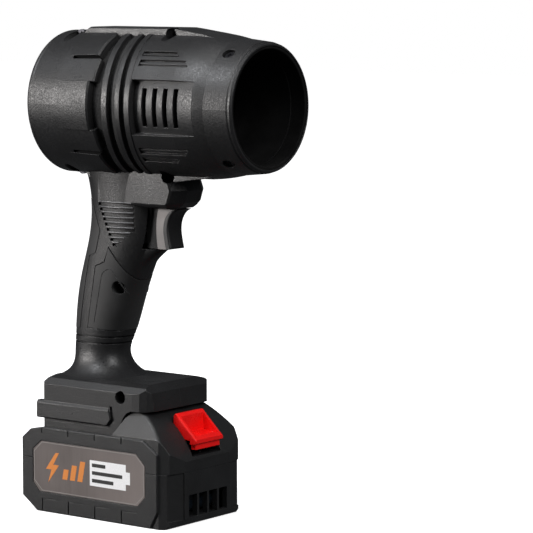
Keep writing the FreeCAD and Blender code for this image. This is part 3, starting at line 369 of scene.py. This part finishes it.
def label_face(name, colour):
    """Printed plate: a satin film with a faint vertical brush, and a painted reflection that makes it paler toward
    the front of the pack.
    """
    n = Nodes(name)
    brushed = n.noise(n.coordinates((1.0, 1.0, 0.03)), 1400.0, 2.0)
    cloud = n.noise(n.coordinates(), 38.0, 2.0)
    lighter = tuple(c * 1.18 for c in colour)
    darker = tuple(c * 0.82 for c in colour)
    tone = n.maths("ADD", n.spread(brushed, -0.16, 0.16), n.spread(cloud, 0.1, 0.9))
    parts = n.new("ShaderNodeSeparateXYZ")
    n.link(n.coordinates(), parts.inputs[0])
    # Painted reflection: toward the front the plate is mixed up to half way to a much paler tone.
    front = n.spread(parts.outputs["X"], 0.0, 0.5, *REFLECTION_FROM_TO_X)
    reflection_tone = tuple(c * 1.9 for c in colour)
    n.link(n.mix_colour(front, n.mix_colour(tone, darker, lighter), reflection_tone), n.shader.inputs["Base Color"])
    n.link(n.spread(brushed, 0.30, 0.42), n.shader.inputs["Roughness"])
    n.link(n.bump(brushed, 0.02 * MM, 0.3), n.shader.inputs["Normal"])
    n.shader.inputs["Coat Weight"].default_value = 0.25
    n.shader.inputs["Coat Roughness"].default_value = 0.2
    return n.material


def ink(name, colour):
    """Printed ink with fine specks where it is thin."""
    n = Nodes(name)
    speck = n.noise(n.coordinates(), 2600.0, 2.0)
    thin = tuple(c * 0.86 for c in colour)
    n.link(n.mix_colour(n.spread(speck, 0.0, 1.0, 0.35, 0.6), thin, colour), n.shader.inputs["Base Color"])
    n.link(n.spread(speck, 0.38, 0.5), n.shader.inputs["Roughness"])
    n.link(n.bump(speck, 0.01 * MM, 0.3), n.shader.inputs["Normal"])
    return n.material


# Moulded plastics: colour, roughness, grain size in mm, grain depth, edge radius in mm and edge wear.
MOULDED = {
    "duct_plastic": ((0.0035, 0.0035, 0.0037), 0.6, 0.5, 0.3, 0.25, 0.1),
    "fan_plastic": ((0.03, 0.03, 0.033), 0.38, 0.6, 0.25, 0.2, 0.3),
    "trigger_black": ((0.0055, 0.0055, 0.006), 0.5, 0.5, 0.4, 0.3, 0.3),
    "trigger_grey": ((0.17, 0.155, 0.15), 0.46, 0.5, 0.35, 0.2, 0.2),
    "switch_plastic": ((0.02, 0.02, 0.022), 0.4, 0.5, 0.3, 0.3, 0.3),
    "circuit_board": ((0.02, 0.10, 0.045), 0.35, 0.8, 0.2, 0.1, 0.3),
    "capacitor_sleeve": ((0.02, 0.02, 0.04), 0.25, 0.8, 0.15, 0.2, 0.2),
    "pack_plastic": ((0.0085, 0.0087, 0.0092), 0.42, 0.8, 0.8, 0.45, 0.4),
    "cell_sleeve": ((0.012, 0.02, 0.03), 0.35, 0.8, 0.15, 0.2, 0.2),
    "holder_plastic": ((0.02, 0.02, 0.02), 0.5, 0.5, 0.3, 0.3, 0.3),
    "button_red": ((0.92, 0.0045, 0.0035), 0.32, 0.6, 0.15, 0.4, 0.08),
    # Blacker than the trigger's plastic: paints the shade in the recess around the trigger carrier.
    "painted_shade_black": ((0.0025, 0.0025, 0.0027), 0.78, 0.5, 0.4, 0.3, 0.1),
    # Pale and glossy: paints the highlight along the thumb ribs.
    "rib_highlight_plastic": ((0.07, 0.07, 0.073), 0.27, 0.6, 0.3, 0.1, 0.1),
}
# Metals: colour, roughness and, where it is brushed, the scale of its streaks along X, Y and Z.
METALS = {
    "motor_steel": ((0.42, 0.43, 0.45), 0.42, (30.0, 1.0, 1.0)),
    "copper_wire": ((0.78, 0.36, 0.16), 0.3, (1.0, 1.0, 8.0)),
    "cast_alloy": ((0.60, 0.61, 0.63), 0.4),
    "bearing_steel": ((0.66, 0.67, 0.69), 0.2, (1.0, 20.0, 20.0)),
    "magnet": ((0.30, 0.31, 0.33), 0.32),
    "screw_steel": ((0.045, 0.045, 0.05), 0.42),
    "spring_steel": ((0.55, 0.56, 0.58), 0.28),
    "terminal_brass": ((0.78, 0.62, 0.32), 0.25),
}
RUBBERS = {
    "grip_rubber": (0.007, 0.007, 0.0073),
    "lead_insulation": (0.02, 0.004, 0.004),
}
INKS = {
    "orange_ink": (0.66, 0.22, 0.04),
    "white_ink": (0.86, 0.86, 0.87),
    "dark_ink": (0.02, 0.02, 0.02),
    # The last is no ink: its light line paints the highlight on the label plates' edges.
    "painted_edge_highlight": (0.24, 0.22, 0.21),
}

MATERIALS = {name: moulded_plastic(name, *finish) for name, finish in MOULDED.items()}
MATERIALS.update({name: metal(name, *finish) for name, finish in METALS.items()})
MATERIALS.update({name: soft_rubber(name, colour) for name, colour in RUBBERS.items()})
MATERIALS.update({name: ink(name, colour) for name, colour in INKS.items()})
MATERIALS["label_plate"] = label_face("label_plate", (0.115, 0.098, 0.092))
# The shell's material paints shade into the barrel's sunk bands and grooves.
MATERIALS["shell_plastic"] = moulded_plastic(
    "shell_plastic", (0.0075, 0.0075, 0.008), 0.43, 0.95, 0.6, 0.45, 0.35, shade_recesses=True, speckle=0.15)
# Painted shade inside the nozzle: the liner blacker than the shell, with little specular.
MATERIALS["bore_painted_shade"] = moulded_plastic(
    "bore_painted_shade", (0.002, 0.002, 0.0021), 0.85, 0.5, 0.3, 0.05, 0.0, specular=0.12)

# Nodes whose moulding is finished differently from the rest of their slot: blacker than it, to paint the shade in
# the trigger's recess and inside the nozzle's bore.
OWN_FINISH = {"trigger_carrier": "painted_shade_black", "nozzle_liner": "bore_painted_shade"}


def dress_cad_nodes():
    slots = {part["node"]: part["material_slot"] for part in frame["record"]["subparts"]}
    for name, obj in frame["nodes"].items():
        obj.data.materials.clear()
        obj.data.materials.append(MATERIALS[OWN_FINISH.get(name, slots[name])])


# ---- print on the label plates ---------------------------------------------------------------
PRINT_THICKNESS = 0.08 * MM


def flat_print(name, outlines, face_y, outward, ink_name):
    """Raised print on a label plate: each outline is a list of (x, z) corners in metres."""
    mesh = bpy.data.meshes.new(name)
    made = bmesh.new()
    for outline in outlines:
        back = [made.verts.new((x, face_y, z)) for x, z in outline]
        front = [made.verts.new((x, face_y + outward * PRINT_THICKNESS, z)) for x, z in outline]
        count = len(outline)
        made.faces.new(front)
        made.faces.new(back[::-1])
        for i in range(count):
            j = (i + 1) % count
            made.faces.new((front[i], back[i], back[j], front[j]))
    bmesh.ops.recalc_face_normals(made, faces=made.faces)
    made.to_mesh(mesh)
    made.free()
    mesh.materials.append(MATERIALS[ink_name])
    piece = bpy.data.objects.new(name, mesh)
    bpy.context.scene.collection.objects.link(piece)
    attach(piece, "battery")


def label_print(side):
    """A generic charge mark and a plain battery pictogram, with bars in place of any words."""
    node = "pack_label_" + side
    low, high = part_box(node)
    width = high.x - low.x
    height = high.z - low.z
    outward = outward_of(side)
    face_y = outer_face_y(node, side)
    flip = side == "left"

    def placed(outlines):
        """The outlines, given as fractions of the label's width and height, in metres."""
        return [[(low.x + width * (1 - u if flip else u), low.z + height * w) for u, w in outline]
                for outline in outlines]

    bolt = [(0.205, 0.80), (0.115, 0.46), (0.165, 0.46), (0.135, 0.20), (0.235, 0.56), (0.183, 0.56),
            (0.235, 0.80)]
    marks = [bolt]
    slant = 0.035
    for i in range(3):
        left = 0.265 + 0.068 * i
        top = 0.50 + 0.10 * i
        lean = slant * (top - 0.30) / 0.5
        right = left + 0.045
        marks.append([(left, 0.30), (right, 0.30), (right + lean, top), (left + lean, top)])
    flat_print("charge_mark_" + side, placed(marks), face_y, outward, "orange_ink")
    cell = [(0.515, 0.26), (0.835, 0.26), (0.835, 0.38), (0.872, 0.38), (0.872, 0.62), (0.835, 0.62),
            (0.835, 0.76), (0.515, 0.76)]
    flat_print("battery_icon_" + side, placed([cell]), face_y, outward, "white_ink")
    bars = []
    for row, length in enumerate((0.12, 0.27, 0.19)):
        top = 0.70 - 0.15 * row
        bars.append([(0.535, top - 0.07), (0.535 + length, top - 0.07), (0.535 + length, top), (0.535, top)])
    on_icon_y = face_y + outward * PRINT_THICKNESS
    flat_print("battery_bars_" + side, placed(bars), on_icon_y, outward, "dark_ink")


def label_edge_highlight(side):
    """A painted highlight along the label plate's edge: a thin, light raised line just inside its outline."""
    node = "pack_label_" + side
    low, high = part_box(node)
    corner_x = (high.x - low.x) * 0.075
    corner_z = (high.z - low.z) * 0.20
    from_edge = 0.5 * MM
    width = 0.45 * MM

    def ring(inset):
        a, b = low.x + inset, high.x - inset
        c, d = low.z + inset, high.z - inset
        cut_x = corner_x - inset * 0.4
        cut_z = corner_z - inset * 0.4
        return [(a, c + cut_z), (a + cut_x, c), (b - cut_x, c), (b, c + cut_z),
                (b, d - cut_z), (b - cut_x, d), (a + cut_x, d), (a, d - cut_z)]

    outer = ring(from_edge)
    inner = ring(from_edge + width)
    strips = []
    for i in range(len(outer)):
        j = (i + 1) % len(outer)
        strips.append([outer[i], outer[j], inner[j], inner[i]])
    flat_print("label_edge_highlight_" + side, strips, outer_face_y(node, side), outward_of(side),
               "painted_edge_highlight")


# ---- raised lines that follow the moulded surfaces -------------------------------------------
# Beads: distance between points, part of the radius that is sunk, and start of the rays outside.
BEAD_SPACING = 1.2 * MM
BEAD_SUNK = 0.45
RAY_START = 5 * MM
# The contour's corners as fractions of the palm panel's length and height.
PALM_CONTOUR = ((0.155, 0.10), (0.36, 0.70), (0.56, 0.775), (0.72, 0.60), (0.83, 0.45))
# The thumb ribs: the top one's height and ends, and how far each end moves from rib to rib.
RIB_COUNT = 9
RIB_PITCH = 3.05 * MM
RIB_TOP_Z = 191.72 * MM
RIB_REAR_X = -13.5 * MM
RIB_REAR_STEP = 1.45 * MM
RIB_FRONT_X = 12.7 * MM
RIB_FRONT_STEP = 4.2 * MM
RIB_TAPER_FROM = 5.5
RIB_CROWN_R = 0.62 * MM


def surface_of(node):
    """The node's mesh as a tree that rays can be cast at."""
    mesh = frame["nodes"][node].data
    corners = [vertex.co.copy() for vertex in mesh.vertices]
    return BVHTree.FromPolygons(corners, [tuple(face.vertices) for face in mesh.polygons])


def rounded_route(corners, radius, steps=6):
    """The (x, z) route with each inner corner replaced by a short curve."""
    route = [Vector(corners[0])]
    for before, corner, after in zip(corners, corners[1:], corners[2:]):
        before, corner, after = Vector(before), Vector(corner), Vector(after)
        start = corner + (before - corner).normalized() * radius
        end = corner + (after - corner).normalized() * radius
        for k in range(steps + 1):
            t = k / steps
            route.append(start * (1 - t) ** 2 + corner * 2 * t * (1 - t) + end * t ** 2)
    route.append(Vector(corners[-1]))
    return route


def evenly(route, spacing):
    """Points about `spacing` apart along the route."""
    points = [route[0]]
    for a, b in zip(route, route[1:]):
        count = max(1, round((b - a).length / spacing))
        for k in range(1, count + 1):
            points.append(a.lerp(b, k / count))
    return points


def surface_beads(name, node, side, routes, body, material, radius=0.45 * MM, bend=3.0 * MM):
    """Fine half-sunk beads on a node's side face, along routes given in x and z."""
    tree = surface_of(node)
    outward = outward_of(side)
    start_y = outer_face_y(node, side) + outward * RAY_START
    data = bpy.data.curves.new(name, "CURVE")
    data.dimensions = "3D"
    data.bevel_depth = radius
    data.bevel_resolution = 3
    data.use_fill_caps = True
    for corners in routes:
        found = []
        for x, z in evenly(rounded_route(corners, bend), BEAD_SPACING):
            hit = tree.ray_cast(Vector((x, start_y, z)), Vector((0.0, -outward, 0.0)))[0]
            if hit is not None:
                found.append(hit)
        spline = data.splines.new("POLY")
        spline.points.add(len(found) - 1)
        for point, place in zip(spline.points, found):
            point.co = (place.x, place.y - outward * radius * BEAD_SUNK, place.z, 1.0)
    data.materials.append(MATERIALS[material])
    piece = bpy.data.objects.new(name, data)
    bpy.context.scene.collection.objects.link(piece)
    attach(piece, body)


def palm_panel_beads():
    """The soft contour moulded inside each palm panel, a few millimetres in from its edge."""
    for side in SIDES:
        node = "palm_panel_" + side
        low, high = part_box(node)
        width = high.x - low.x
        height = high.z - low.z
        corners = [(low.x + width * u, low.z + height * w) for u, w in PALM_CONTOUR]
        surface_beads("palm_contour_" + side, node, side, [corners], "housing", "grip_rubber")


def thumb_rib_crowns():
    """Rounded crowns on the ribs that the thumb grooves leave on each cheek of the grip, in a pale plastic that
    paints the ribs' highlights.
    """
    routes = []
    for k in range(RIB_COUNT):
        z = RIB_TOP_Z - RIB_PITCH * k
        rear = RIB_REAR_X + RIB_REAR_STEP * k
        front = RIB_FRONT_X - RIB_FRONT_STEP * max(0.0, k - RIB_TAPER_FROM)
        routes.append([(rear, z), (front, z)])
    for side in SIDES:
        surface_beads("thumb_ribs_" + side, "shell_" + side, side, routes, "housing",
                      "rib_highlight_plastic", RIB_CROWN_R)


# ---- build -----------------------------------------------------------------------------------
add_camera()
add_lights()
add_world()
add_floor()
dress_cad_nodes()
for label_side in SIDES:
    label_print(label_side)
    label_edge_highlight(label_side)
palm_panel_beads()
thumb_rib_crowns()
bpy.context.scene.view_settings.view_transform = "Standard"
